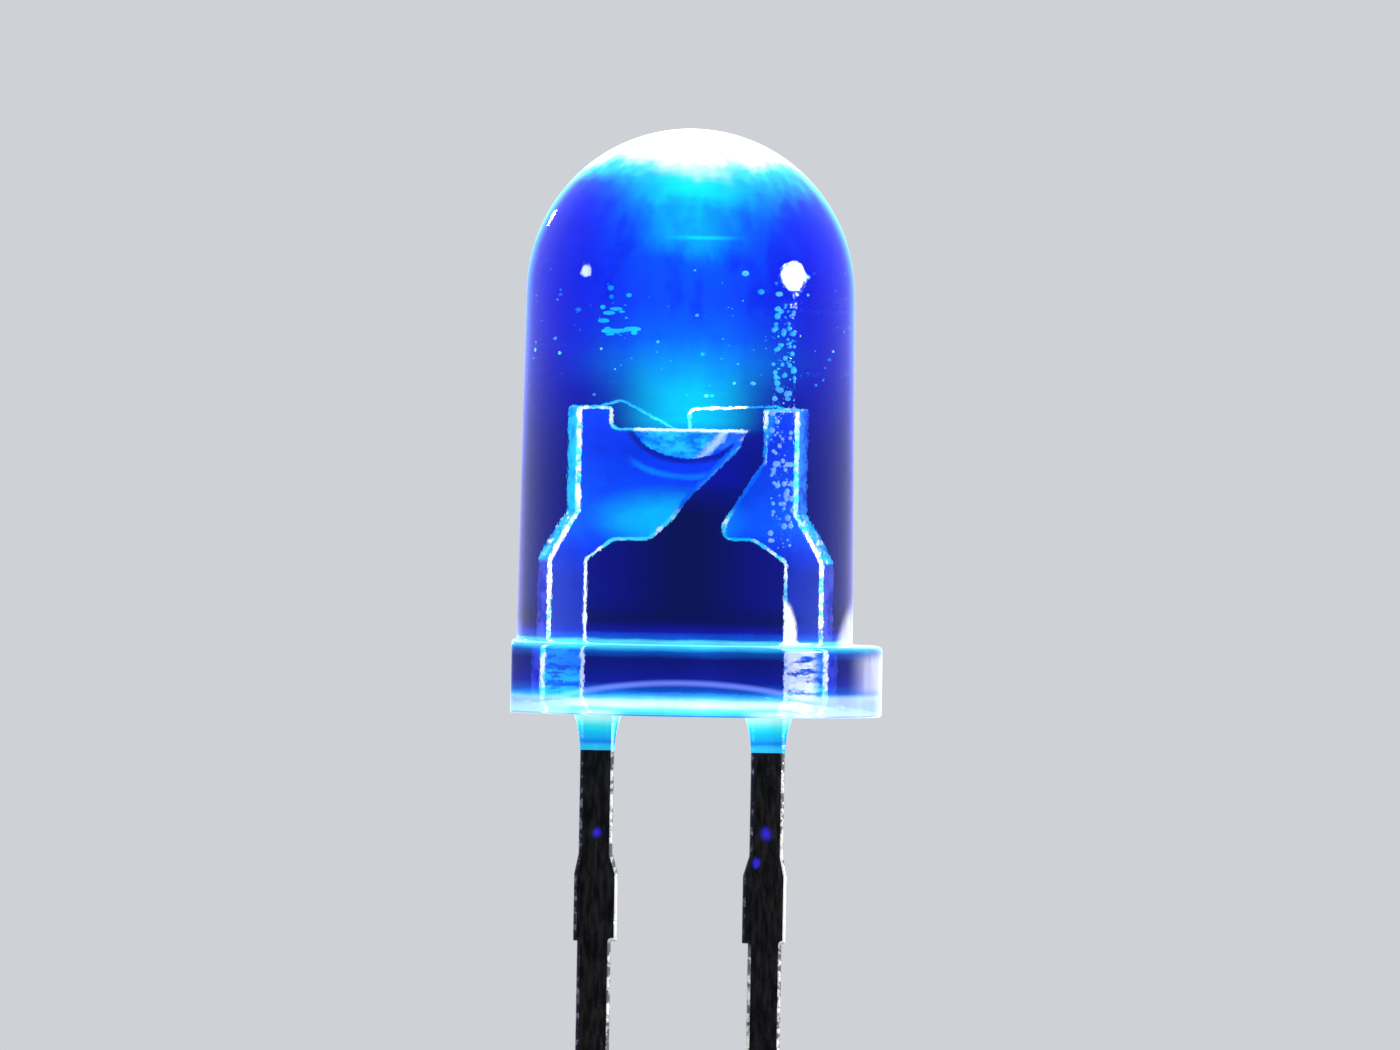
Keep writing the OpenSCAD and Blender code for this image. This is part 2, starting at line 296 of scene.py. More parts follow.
def sleeve(s, leads, side):
    """Epoxy crept down one lead: a rounded oblong in plan, with hollow sides."""
    bm = bmesh.new()
    low, high = LENS_LOW[2], 0.3 * MM
    rings = []
    steps = 16
    for i in range(steps + 1):
        rise = (high - low) * i / steps
        flare = s.end_t + s.flare_r - math.sqrt(s.flare_r**2 - rise**2)
        half = Vector((leads.lead_w / 2 + flare, SHEET_T / 2 + flare))
        corner_r = min(0.6 * half.y, 0.06 * MM + rise * 0.25)
        ring = []
        for k in range(28):
            quarter = k // 7
            turn = quarter * math.pi / 2 + math.radians(15 * (k % 7))
            sign = Vector((1 if quarter in (0, 3) else -1, 1 if quarter < 2 else -1))
            x = sign.x * (half.x - corner_r) + corner_r * math.cos(turn)
            y = sign.y * (half.y - corner_r) + corner_r * math.sin(turn)
            ring.append(bm.verts.new((side * leads.pitch / 2 + x, y, low + rise)))
        rings.append(ring)
    for lower, upper in zip(rings, rings[1:]):
        for i in range(len(lower)):
            j = (i + 1) % len(lower)
            bm.faces.new((lower[i], lower[j], upper[j], upper[i]))
    bm.faces.new(rings[0])
    bm.faces.new(rings[-1])
    return from_bmesh("sleeve", bm)


def rim_height(s):
    return CUP_FLOOR + s.depth


def lead_side(s, out, stub):
    """Corners along one side of a lead, from the stub up. out is 1 or -1, away from the lead."""
    side = out * s.lead_w / 2
    top, low = -s.stub_z, -s.stub_z - s.stub_h
    return [
        (side, low, 0.01),
        (side + out * stub, low, 0.02),
        (side + out * stub, top - 0.3 * MM, 0.05),
        (side, top, 0.1),
    ]


def moved(corners, x):
    return [(x + point[0], *point[1:]) for point in corners]


def cathode_corners(s, cup):
    """The cathode stamping's corners (x, z, rounding in mm), anticlockwise from its tip."""
    x = s.pitch / 2
    outer, inner = -x - s.lead_w / 2, -x + s.lead_w / 2
    rim_z = rim_height(cup)
    anvil = cup.bowl_r - 0.05 * MM
    step = -cup.bowl_r - 0.17 * MM
    return [
        (outer, CATHODE_TIP + 0.08 * MM, 0.02),
        (inner, CATHODE_TIP, 0.02),
        *moved(lead_side(s, 1, 0.09 * MM), -x),
        (inner, s.web_z - 0.3 * MM, 0.08),
        (inner + 0.28 * MM, s.web_z, 0.15),
        (-0.38 * MM, s.web_z, 0.15),
        (-0.12 * MM, s.web_z + 0.34 * MM, 0.3),
        (0.0, s.web_z + 0.61 * MM, 0.2),
        (anvil - 0.035 * MM, rim_z - 0.26 * MM, 0.03),
        (anvil, rim_z, 0.01),
        (step, rim_z, 0.08),
        (step - 0.01 * MM, POST_TOP, 0.03),
        (outer + s.post_jog, POST_TOP, 0.03),
        (outer + s.post_jog, s.shoulder_z + s.shoulder_h, 0.12),
        (outer, s.shoulder_z, 0.12),
        *moved(lead_side(s, -1, 0.06 * MM)[::-1], -x),
    ]


def anode_corners(s, cup):
    """The anode stamping's corners (x, z, rounding in mm), anticlockwise from its tip."""
    x = s.pitch / 2
    outer, inner = x + s.lead_w / 2, x - s.lead_w / 2
    post = cup.bowl_r + s.post_gap
    return [
        (inner, ANODE_TIP, 0.02),
        (outer, ANODE_TIP + 0.08 * MM, 0.02),
        *moved(lead_side(s, 1, 0.06 * MM), x),
        (outer, s.shoulder_z, 0.12),
        (outer - s.post_jog, s.shoulder_z + s.shoulder_h, 0.12),
        (outer - s.post_jog, POST_TOP, 0.03),
        (post, POST_TOP, 0.05),
        (post, rim_height(cup) - 0.46 * MM, 0.12),
        (post - 0.42 * MM, s.web_z + 0.27 * MM, 0.12),
        (post - 0.41 * MM, s.web_z + 0.02 * MM, 0.12),
        (inner - 0.34 * MM, s.web_z + 0.02 * MM, 0.15),
        (inner, s.web_z - 0.3 * MM, 0.08),
        *moved(lead_side(s, -1, 0.09 * MM)[::-1], x),
    ]


def rounded(corners, inset):
    """The outline of anticlockwise corners, moved in by inset, with each corner rounded."""
    count = len(corners)
    sides = []
    for i in range(count):
        a, b = (Vector(corners[k % count][:2]) for k in (i, i + 1))
        along = (b - a).normalized()
        sides.append((a + Vector((-along.y, along.x)) * inset, along))
    points = []
    for i in range(count):
        (p, u), (q, v) = sides[i - 1], sides[i]
        turn = u.cross(v)
        corner = p + u * (q - p).cross(v) / turn
        radius = corners[i][2] * MM
        radius = max(radius - inset, 0.004 * MM) if turn > 0 else radius + inset
        half = math.atan2(abs(turn), u.dot(v)) / 2
        reach = radius * math.tan(half)
        inward = Vector((-u.y, u.x)) * math.copysign(radius, turn)
        centre = corner - u * reach + inward
        steps = 8
        for k in range(steps + 1):
            spoke = -inward
            spoke = Matrix.Rotation(math.copysign(2 * half * k / steps, turn), 2) @ spoke
            points.append(centre + spoke)
    return points


def stamping(name, corners, s):
    """Sheet metal cut to an outline, with the edges that the punch rolled over."""
    bm = bmesh.new()
    half = SHEET_T / 2
    levels = (
        (-half, s.roll_w),
        (-half + 0.3 * s.roll_t, 0.3 * s.roll_w),
        (-half + s.roll_t, 0),
        (half - s.roll_t, 0),
        (half - 0.3 * s.roll_t, 0.3 * s.roll_w),
        (half, s.roll_w),
    )
    loops = [
        [bm.verts.new((point.x, y, point.y)) for point in rounded(corners, inset)]
        for y, inset in levels
    ]
    count = len(loops[0])
    for k, (front, back) in enumerate(zip(loops, loops[1:])):
        for i in range(count):
            j = (i + 1) % count
            face = bm.faces.new((front[i], front[j], back[j], back[i]))
            face.normal_update()
            upward = abs(face.normal.z) > 0.2 and face.calc_center_median().z > 0
            side = SHOULDER if upward else CUT
            face.material_index = side if k == len(levels) // 2 - 1 else ROLLED
    bm.faces.new(loops[0]).material_index = FACE
    bm.faces.new(loops[-1][::-1]).material_index = FACE
    return from_bmesh(name, bm)


# Nodes


def arithmetic(operation, swapped=False):
    """A method for an operator, or for its reflected form, that adds a Math node."""

    def method(self, other):
        pair = (other, self) if swapped else (self, other)
        return self.nodes.math(operation, *pair)

    return method


class Value:
    """An output of a node. Arithmetic on it adds Math nodes."""

    def __init__(self, nodes, socket):
        self.nodes = nodes
        self.socket = socket

    __add__ = __radd__ = arithmetic("ADD")
    __sub__, __rsub__ = arithmetic("SUBTRACT"), arithmetic("SUBTRACT", True)
    __mul__ = __rmul__ = arithmetic("MULTIPLY")
    __truediv__, __rtruediv__ = arithmetic("DIVIDE"), arithmetic("DIVIDE", True)
    __pow__, __rpow__ = arithmetic("POWER"), arithmetic("POWER", True)

    def between(self, low, high):
        """0 at low to 1 at high, eased at both ends."""
        return self.nodes.node(
            "ShaderNodeMapRange",
            {"interpolation_type": "SMOOTHSTEP"},
            {"Value": self, "From Min": low, "From Max": high},
        )

    def near(self, centre, width):
        """1 at centre, falling to 0 at width either side."""
        return self.nodes.math("ABSOLUTE", self - centre).between(width, 0.0)


class Nodes:
    """A node tree being made, and the one way to add a node to it."""

    def __init__(self, tree):
        self.tree = tree
        tree.nodes.clear()

    def node(self, kind, settings=None, inputs=None, output=0):
        """Adds a node. Settings are set first, and stops fill a colour ramp."""
        node = self.tree.nodes.new(kind)
        for name, value in (settings or {}).items():
            if name == "stops":
                ramp = node.color_ramp.elements
                while len(ramp) < len(value):
                    ramp.new(1.0)
                for stop, (place, rgb) in zip(ramp, value):
                    stop.position = place
                    stop.color = (*rgb, 1.0)
            else:
                setattr(node, name, value)
        for name, value in (inputs or {}).items():
            if isinstance(value, Value):
                self.tree.links.new(value.socket, node.inputs[name])
            else:
                node.inputs[name].default_value = value
        return Value(self, node.outputs[output]) if node.outputs else node

    def math(self, operation, *inputs):
        return self.node("ShaderNodeMath", {"operation": operation}, dict(enumerate(inputs)))


# Materials


def glowing(seen, depth=2.3):
    """An Emission Color for GLOW that shows as seen through depth mm of epoxy."""
    return tuple(
        min(share * math.exp(rate * depth) / GLOW, 1.0) for share, rate in zip(seen, ABSORBED)
    )


class Finish(Nodes):
    """A material being made."""

    def __init__(self, name):
        self.material = bpy.data.materials.new(name)
        self.material.use_nodes = True
        super().__init__(self.material.node_tree)

    def vector_math(self, operation, inputs, output=0):
        return self.node("ShaderNodeVectorMath", {"operation": operation}, inputs, output)

    def scaled(self, vector, factor):
        return self.vector_math("SCALE", {0: vector, "Scale": factor})

    def stretched(self, vector, scale):
        return self.vector_math("MULTIPLY", {0: vector, 1: scale})

    def added(self, first, second):
        return self.vector_math("ADD", {0: first, 1: second})

    def distance(self, vector, point):
        return self.vector_math("DISTANCE", {0: vector, 1: point}, 1)

    def place(self):
        """The object's coordinates in millimetres, as a vector and as x, y and z."""
        vector = self.scaled(self.node("ShaderNodeTexCoord", output=3), 1000.0)
        split = self.node("ShaderNodeSeparateXYZ", inputs={0: vector}).socket.node
        return vector, *(Value(self, output) for output in split.outputs)

    def noise(self, vector, scale, detail=3.0, roughness=0.6):
        return self.node("ShaderNodeTexNoise", inputs={
            "Vector": vector, "Scale": scale, "Detail": detail, "Roughness": roughness,
        })

    def cells(self, vector, scale):
        """Distance to the nearest of scattered points."""
        return self.node("ShaderNodeTexVoronoi", inputs={"Vector": vector, "Scale": scale})

    def ramp(self, value, low, high, stops):
        """Colours along a value, given as (value, r, g, b) between low and high."""
        places = [((at - low) / (high - low), rgb) for at, *rgb in stops]
        factor = (value - low) / (high - low)
        return self.node("ShaderNodeValToRGB", {"stops": places}, {"Fac": factor})

    def mix(self, factor, first, second, blend="MIX"):
        """Mixes two colours, given as outputs or as (r, g, b)."""
        inputs = {0: factor}
        for index, value in ((6, first), (7, second)):
            inputs[index] = value if isinstance(value, Value) else (*value, 1.0)
        return self.node("ShaderNodeMix", {"data_type": "RGBA", "blend_type": blend}, inputs, 2)

    def lit(self, factor, *glows, depth=2.3):
        """Mixes two glows, given as outputs or as they show through depth mm of epoxy."""
        return self.mix(factor, *(
            glow if isinstance(glow, Value) else glowing(glow, depth) for glow in glows
        ))

    def bump(self, height, strength, distance):
        return self.node(
            "ShaderNodeBump", inputs={"Height": height, "Strength": strength, "Distance": distance}
        )

    def surface(self, absorbed=None, **sockets):
        """Ends the material in a Principled shader. Socket names have _ for spaces."""
        inputs = {name.replace("_", " "): value for name, value in sockets.items()}
        ends = {"Surface": self.node("ShaderNodeBsdfPrincipled", inputs=inputs)}
        if absorbed:
            tint = [1 - share / max(absorbed) for share in absorbed]
            ends["Volume"] = self.node("ShaderNodeVolumeAbsorption", inputs={
                "Color": (*tint, 1.0), "Density": 1000.0 * max(absorbed),
            })
        self.node("ShaderNodeOutputMaterial", inputs=ends)
        return self.material


# Light painted into the epoxy's emission, by height in mm: towards its sides, through its middle,
# along its outline, and low down from the sleeves to the body's root
SIDES = (
    (1.35, 0.0, 0.0, 0.0),
    (1.70, 0.0, 0.0, 0.11),
    (3.50, 0.0, 0.0, 0.10),
    (4.20, 0.001, 0.001, 0.17),
    (5.10, 0.001, 0.001, 0.34),
    (5.60, 0.001, 0.003, 0.46),
    (6.20, 0.001, 0.003, 0.56),
    (7.00, 0.0, 0.008, 0.74),
    (7.40, 0.0, 0.02, 0.90),
    (7.70, 0.0, 0.09, 0.98),
    (7.92, 0.003, 0.36, 1.0),
    (8.10, 0.01, 0.85, 1.0),
    (8.22, 0.5, 1.0, 1.0),
    (8.30, 1.0, 1.0, 1.0),
)
MIDDLE = (
    (3.00, 0.0, 0.0, 0.0),
    (3.30, 0.0, 0.001, 0.10),
    (3.50, 0.001, 0.002, 0.28),
    (3.90, 0.0, 0.002, 0.22),
    (4.17, 0.0, 0.03, 0.25),
    (4.25, 0.0, 0.46, 0.80),
    (4.36, 0.0, 0.64, 0.90),
    (4.75, 0.0, 0.62, 0.92),
    (5.10, 0.0, 0.39, 0.90),
    (5.60, 0.0, 0.15, 0.90),
    (6.20, 0.001, 0.07, 0.88),
    (6.60, 0.0, 0.09, 0.94),
    (7.00, 0.0, 0.15, 0.96),
    (7.40, 0.0, 0.33, 0.97),
    (7.70, 0.0, 0.80, 1.0),
    (7.92, 0.01, 0.94, 1.0),
    (8.12, 0.25, 1.0, 1.0),
    (8.25, 1.0, 1.0, 1.0),
)
OUTLINE = (
    (0.30, 0.35, 0.40, 0.70),
    (1.00, 0.25, 0.30, 0.70),
    (1.40, 0.06, 0.07, 0.40),
    (3.50, 0.0, 0.01, 0.42),
    (5.10, 0.0, 0.10, 0.70),
    (6.20, 0.0, 0.22, 0.80),
    (7.00, 0.01, 0.52, 0.94),
    (7.40, 0.03, 0.78, 0.97),
    (7.80, 0.12, 0.92, 1.0),
    (8.10, 0.55, 0.97, 1.0),
    (8.30, 1.0, 1.0, 1.0),
)
FOOT = (
    (-0.56, 0.02, 0.50, 0.90),
    (-0.49, 0.02, 0.50, 0.90),
    (-0.44, 0.003, 0.20, 0.80),
    (-0.37, 0.003, 0.40, 0.90),
    (-0.28, 0.005, 0.58, 0.90),
    (-0.20, 0.03, 0.76, 0.88),
    (-0.12, 0.25, 0.90, 0.94),
    (-0.04, 0.50, 0.95, 0.88),
    (0.01, 0.004, 0.25, 0.78),
    (0.06, 0.02, 0.62, 0.92),
    (0.11, 0.14, 0.85, 0.95),
    (0.16, 0.62, 0.95, 0.95),
    (0.21, 0.62, 0.95, 0.95),
    (0.27, 0.12, 0.66, 0.92),
    (0.32, 0.004, 0.28, 0.86),
    (0.38, 0.004, 0.08, 0.48),
    (0.50, 0.003, 0.008, 0.20),
    (0.85, 0.002, 0.004, 0.10),
    (0.95, 0.002, 0.08, 0.42),
    (1.02, 0.03, 0.60, 0.90),
    (1.10, 0.10, 0.72, 0.95),
    (1.14, 0.003, 0.10, 0.50),
    (1.24, 0.003, 0.003, 0.20),
    (1.40, 0.0, 0.0, 0.0),
)


def epoxy():
    """Clear blue cast epoxy, lit from inside: brightest at the dome's tip and over the cup."""
    f = Finish("blue_epoxy")
    vector, x, _, z = f.place()
    facing = 1.0 - f.node("ShaderNodeLayerWeight", inputs={"Blend": 0.5}, output=1)
    streaks = f.noise(f.stretched(vector, (1.0, 1.0, 9.0)), 1.6)
    shafts = f.noise(f.stretched(vector, (3.2, 3.2, 0.3)), 1.0)
    inner = inner_glow(f, vector, x, z, facing, streaks, shafts)
    outline = outline_glow(f, x, z, facing, shafts)
    foot = foot_glow(f, vector, x, z, streaks)
    speckle = f.noise(vector, 7.0)
    return f.surface(
        Base_Color=(1.0, 1.0, 1.0, 1.0),
        Roughness=0.0,
        IOR=1.53,
        Transmission_Weight=1.0,
        Specular_Tint=(0.1, 0.16, 0.6, 1.0),
        Emission_Color=f.added(f.added(inner, outline), foot),
        Emission_Strength=1.0,
        Normal=f.bump(speckle, 0.25, 0.00001),
        absorbed=ABSORBED,
    )


def inner_glow(f, vector, x, z, facing, streaks, shafts):
    """Light inside the lens, brighter through its middle than at its sides."""
    clouds = f.noise(f.stretched(vector, (1.0, 1.0, 0.6)), 1.1, 4.0, 0.6)
    wavy = z + ((clouds - 0.5) * 0.45 + (shafts - 0.5) * 0.4) * z.between(4.5, 5.0)
    wavy = wavy + (0.11 * x - 0.06) * z.between(6.2, 7.0) * z.between(8.05, 7.8)
    # How far a spot is turned to the viewer about Z, also on the dome
    climb = f.node("ShaderNodeClamp", inputs={"Value": (z - DOME_Z) / DOME_R, "Max": 0.98})
    across = f.math("MINIMUM", facing / (1.0 - climb**2.0) ** 0.5, 1.0)
    spread = across**8.0
    spread = spread * (1.0 - z.between(5.4, 4.7) * (1.0 - spread))
    # Over the cup the light starts sharply at its rim, and to the sides it fades in
    beside = f.math("ABSOLUTE", x).between(0.6, 1.3)
    spread = spread * (1.0 - beside * z.between(5.2, 4.1))
    light = f.mix(spread, f.ramp(wavy, 1.0, 9.0, SIDES), f.ramp(wavy, 1.0, 9.0, MIDDLE))
    # Patches on the upper body where the painted light is darker
    dim_patches = f.noise(f.stretched(vector, (1.5, 1.5, 0.8)), 1.0).between(0.56, 0.42)
    dim_patches = dim_patches * z.between(5.5, 6.1) * z.between(7.9, 7.5)
    light = f.mix(0.7 * dim_patches, light, (0.4, 0.35, 0.88), "MULTIPLY")
    # Painted light: a narrow tongue that hangs from the tip and its white core, and a faint level
    # line that is a painted reflection of the cup
    tongue = x.near(0.0, 1.05) * wavy.between(6.65, 7.05) * wavy.between(8.0, 7.6)
    core = x.near(0.0, 0.75) * wavy.between(7.80, 8.10)
    line = z.near(7.06, 0.05) * x.near(0.2, 0.7)
    light = f.added(light, f.scaled((0.0, 0.28, 0.03), tongue))
    light = f.added(light, f.scaled((0.6, 0.1, 0.0), core))
    light = f.added(light, f.scaled((0.0, 0.40, 0.10), line))
    return f.scaled(light, 0.66 + 0.4 * clouds + 0.3 * streaks)


def outline_glow(f, x, z, facing, shafts):
    """Light along the lens's outline, and what leaks out at the round end of its foot."""
    light = f.scaled(f.ramp(z, 0.0, 9.0, OUTLINE), facing.between(0.32, 0.08))
    veined = 1.9 * shafts - 0.05
    end = x.between(2.40, 2.90) * z.between(0.2, 0.5) * z.between(1.02, 0.8)
    light = f.added(light, f.scaled((0.62, 0.66, 0.76), end * veined))
    # A white wedge of painted light low on the body's +X side
    wedge = (x - 0.3 * (z - 1.1)).between(2.20, 2.36) * z.between(1.80, 1.40)
    wedge = wedge * z.between(1.02, 1.1)
    return f.added(light, f.scaled((0.75, 0.80, 0.92), wedge * veined))


def foot_glow(f, vector, x, z, streaks):
    """Light in the flange, its dished underside and the sleeves."""
    side = f.math("ABSOLUTE", x)
    light = f.ramp(z + (streaks - 0.5) * 0.06, -0.6, 1.5, FOOT)
    # It turns lavender at both ends of the foot, and stays white around the leads
    base = z.between(-0.03, 0.02)
    right = base * x.between(1.55, 1.75) * z.between(0.36, 0.28)
    left = base * x.between(-1.6, -1.8) * z.between(0.28, 0.22)
    around = side.near(LEAD_X, 0.5) * z.between(-0.14, -0.04) * z.between(0.12, 0.06)
    light = f.mix(right, light, (0.46, 0.68, 0.90))
    light = f.mix(left, light, (0.33, 0.60, 0.92))
    light = f.mix(around, light, (0.45, 0.93, 0.93))
    patches = f.noise(f.stretched(vector, (1.0, 1.0, 0.15)), 1.3)
    light = f.scaled(light, 0.55 + 0.9 * patches)
    # A painted bright arch where the dished underside is seen through the flange
    arch = (z + 0.065 * x * x).near(0.5, 0.07) * side.between(2.05, 1.55)
    return f.added(light, f.scaled((0.14, 0.20, 0.62), arch))


def steel(name, light, rolled=False):
    """Bright sheet steel with fine pits, with a painted dark reflection outside the epoxy.

    light is a function of the finish and the coordinates that gives its glow in the epoxy.
    """
    f = Finish(name)
    vector, x, _, z = f.place()
    inside = z.between(0.15, 0.32)
    grain = f.noise(f.stretched(vector, (14.0, 14.0, 3.0)), 1.0, 4.0, 0.6)
    pits = f.cells(vector, 9.0).between(0.05, 0.32)
    # Painted dark reflection: the bare metal outside the epoxy is made nearly black, with grain
    outside = f.mix(grain.between(0.35, 0.7), (0.006, 0.006, 0.007), (0.022, 0.021, 0.022))
    # Rolled edges outside take painted highlights and painted shade instead
    if rolled:
        outside = painted_edge_highlights(f, vector, x, z)
    glow = f.scaled(light(f, vector, x, z), inside)
    # Glints of blue light on the bare leads, as x, z and size
    for at_x, at_z, size in ((-1.27, -1.79, 0.11), (1.26, -1.77, 0.14), (1.13, -2.2, 0.10)):
        far = f.distance(f.stretched(vector, (1.0, 0.0, 1.0)), (at_x, 0.0, at_z))
        glint = (far + (grain - 0.5) * 0.2).between(size, 0.0)
        glow = f.added(glow, f.scaled((0.002, 0.0013, 0.045), glint))
    return f.surface(
        Base_Color=f.mix(inside, outside, (0.62, 0.66, 0.74)),
        Metallic=1.0,
        Roughness=0.22 + 0.25 * grain,
        Normal=f.bump(pits + 0.4 * grain, 0.35, 0.00002),
        Emission_Color=glow,
        Emission_Strength=GLOW,
    )


def painted_edge_highlights(f, vector, x, z):
    """A rolled edge in the open: painted highlights on each lead's +X side, elsewhere only here and
    there.
    """
    beads = f.noise(vector, 7.5, 2.0, 0.7)
    # A solid painted highlight over the tie bar's stubs
    stub = z.between(-2.3, -2.5) * z.between(-3.45, -3.35)
    bright = f.math("MAXIMUM", beads.between(0.42, 0.6), stub)
    bright = f.mix(bright, (0.15, 0.15, 0.17), (0.95, 0.93, 0.90))
    # Painted shade on the other sides: dark, with a few violet beads
    dull = f.mix(beads.between(0.5, 0.7), (0.02, 0.02, 0.035), (0.22, 0.22, 0.32))
    # Each lead's +X side and the anode's lower end take the painted highlight
    right = (x - LEAD_X * f.math("SIGN", x)).between(-0.1, 0.1)
    below = x.between(0.4, 0.6) * z.between(-3.4, -3.5)
    return f.mix(f.math("MAXIMUM", right, below), dull, bright)


def face_light(f, vector, x, z):
    """Blue faces, brightest low on the anvil and in the flange, dark just under the bowl."""
    cloud = f.noise(vector, 2.2, 4.0, 0.65)
    fleck = f.noise(f.stretched(vector, (1.0, 1.0, 3.5)), 3.6, 4.0, 0.7)
    # Painted light on the faces, by height
    light = f.ramp(z + (cloud - 0.5) * 0.3, -1.0, 5.0, [
        (0.15, *glowing((0.0, 0.20, 0.50), 0.6)),
        (0.32, *glowing((0.002, 0.08, 0.50))),
        (0.90, *glowing((0.003, 0.06, 0.50))),
        (1.15, *glowing((0.012, 0.035, 0.38), 2.0)),
        (2.0, *glowing((0.010, 0.030, 0.36), 2.0)),
        (2.4, *glowing((0.002, 0.03, 0.60), 2.1)),
        (2.8, *glowing((0.0, 0.07, 0.78))),
        (3.3, *glowing((0.0, 0.05, 0.70))),
        (3.9, *glowing((0.0, 0.025, 0.55))),
        (4.6, *glowing((0.0, 0.03, 0.58))),
    ])
    low = x.between(0.7, 0.9) * z.between(2.5, 2.2) * z.between(1.05, 1.15)
    light = f.scaled(light, 1.0 - 0.25 * low)
    flange = z.between(0.25, 0.35) * z.between(1.05, 0.95)
    cyan = f.lit(z.between(0.75, 0.45), (0.012, 0.20, 0.84), (0.012, 0.46, 0.90))
    light = f.mix(flange * fleck.between(0.42, 0.56), light, cyan)
    # Painted white light in flecks on the anode's face in the flange
    white = fleck.between(0.38, 0.52) * x.between(0.98, 1.12) * x.between(1.45, 1.3)
    light = f.lit(flange * white, light, (0.75, 0.88, 0.97))
    # A painted highlight on the anode's inner edge in the flange
    wedge = f.distance(f.stretched(vector, (2.2, 0.1, 0.7)), (2.24, -0.02, 0.83))
    light = f.lit(wedge.between(0.40, 0.30), light, (0.95, 0.97, 1.0), depth=2.0)
    gleam = f.distance(f.stretched(vector, (0.8, 0.3, 1.3)), (-0.16, 0.0, 3.75))
    light = f.lit(gleam.between(0.75, 0.1), light, (0.0, 0.42, 0.92))
    bowl = f.distance(vector, (0.0, -0.1, 4.37))
    ring = 0.5 * bowl.near(0.86, 0.07) * x.between(-0.65, -0.45)
    light = f.lit(ring, light, (0.0, 0.3, 0.9))
    # A painted shadow just under the bowl
    shade = 1.0 - 0.85 * bowl.near(0.62, 0.08)
    return f.scaled(light, shade * (0.5 + 1.0 * cloud))


def side_light(f, vector, x, z):
    """Cut sides: cyan on the posts and blue on the leads, lighter on the cathode."""
    cloud = f.noise(vector, 5.0).between(0.35, 0.6)
    left = f.lit(cloud, (0.0, 0.30, 0.88), (0.01, 0.60, 0.97), depth=1.9)
    right = f.lit(cloud, (0.01, 0.06, 0.60), (0.03, 0.26, 0.88), depth=1.9)
    lead = f.lit(cloud, (0.003, 0.01, 0.30), (0.04, 0.06, 0.48), depth=1.8)
    return f.mix(z.between(2.35, 2.2), f.mix(x.between(-0.5, 0.5), left, right), lead)


def shoulder_light(f, vector, x, z):
    """Painted light on sides that face upwards: cyan, with a few beads of white."""
    cloud = f.noise(vector, 3.0).between(0.35, 0.6)
    beads = f.noise(vector, 8.0, 2.0, 0.7).between(0.56, 0.66)
    light = f.lit(cloud, (0.0, 0.22, 0.85), (0.02, 0.55, 0.95), depth=1.9)
    return f.lit(beads, light, (0.80, 0.93, 1.0), depth=1.9)


def edge_light(f, vector, x, z):
    """Rolled edges: beads of white light on cyan, dim along the gap between the leads."""
    beads = f.noise(vector, 8.0, 2.0, 0.7)
    patch = f.noise(vector, 1.7, 2.0, 0.5)
    side = f.math("ABSOLUTE", x)
    light = f.lit(z.between(1.0, 2.6), (0.10, 0.20, 0.75), (0.0, 0.52, 0.92), depth=2.0)
    light = f.lit(patch.between(0.35, 0.55), light, (0.06, 0.78, 0.95), depth=2.0)
    inner = side.between(1.105, 1.085)
    outer = 1.0 - inner
    white = f.math("MAXIMUM", beads.between(0.40, 0.54) * outer, beads.between(0.5, 0.62) * inner)
    lead = z.between(2.35, 2.2)
    solid = f.math("MAXIMUM", patch.between(0.4, 0.5), x.between(0.2, -0.2))
    white = f.math("MAXIMUM", white, lead * inner * solid)
    white = white * (1.0 - 0.45 * x.between(0.85, 1.0) * z.between(2.9, 3.1))
    top = z.between(4.26, 4.36) * z.between(4.53, 4.49)
    light = f.lit(f.math("MAXIMUM", white, top), light, (0.80, 0.93, 1.0), depth=2.0)
    gap = z.between(2.90, 3.10) * z.between(4.22, 4.18) * side.between(0.84, 0.78)
    return f.lit(gap, light, (0.0, 0.11, 0.72), depth=2.2)


def bowl_light(f, vector, x, z):
    """The lit bowl: cyan with a white rim, and dark past a bright band towards +X."""
    cloud = f.noise(vector, 4.5, 4.0, 0.7)
    light = f.lit(cloud.between(0.35, 0.65), (0.0, 0.16, 0.80), (0.02, 0.65, 0.95), depth=1.9)
    past = x - 0.64 * z + 2.33 + (cloud - 0.5) * 0.15
    light = f.lit(past.between(0.05, 0.12), light, (0.004, 0.06, 0.60), depth=1.9)
    light = f.lit(past.near(0.03, 0.08), light, (0.50, 0.72, 0.96), depth=1.9)
    glint = past.near(0.30, 0.06) * cloud.between(0.35, 0.5) * z.between(3.95, 4.03)
    rim = z.between(4.17, 4.21)
    return f.lit(f.math("MAXIMUM", glint, rim), light, (0.95, 1.0, 1.0), depth=1.9)


def cup_light(f, vector, x, z):
    return glowing((0.3, 0.9, 1.0), 1.0)


def die_finish():
    """The lit die: white light, bluer away from scattered spots."""
    f = Finish("lit_die")
    vector, *_ = f.place()
    cells = f.cells(vector, 22.0)
    return f.surface(
        Base_Color=(0.75, 0.9, 1.0, 1.0),
        Roughness=0.15 + 0.2 * cells,
        Emission_Color=f.mix(cells.between(0.1, 0.5), (0.7, 0.9, 1.0), (0.25, 0.6, 1.0)),
        Emission_Strength=160.0,
    )


def adhesive_finish():
    """Silver-filled adhesive: satin and grainy."""
    f = Finish("silver_adhesive")
    vector, *_ = f.place()
    flakes = f.noise(vector, 60.0, 3.0, 0.7)
    return f.surface(
        Base_Color=f.mix(flakes.between(0.4, 0.6), (0.45, 0.46, 0.48), (0.85, 0.86, 0.88)),
        Roughness=0.35 + 0.3 * flakes,
        Metallic=0.6,
        Normal=f.bump(flakes, 0.5, 0.000004),
    )


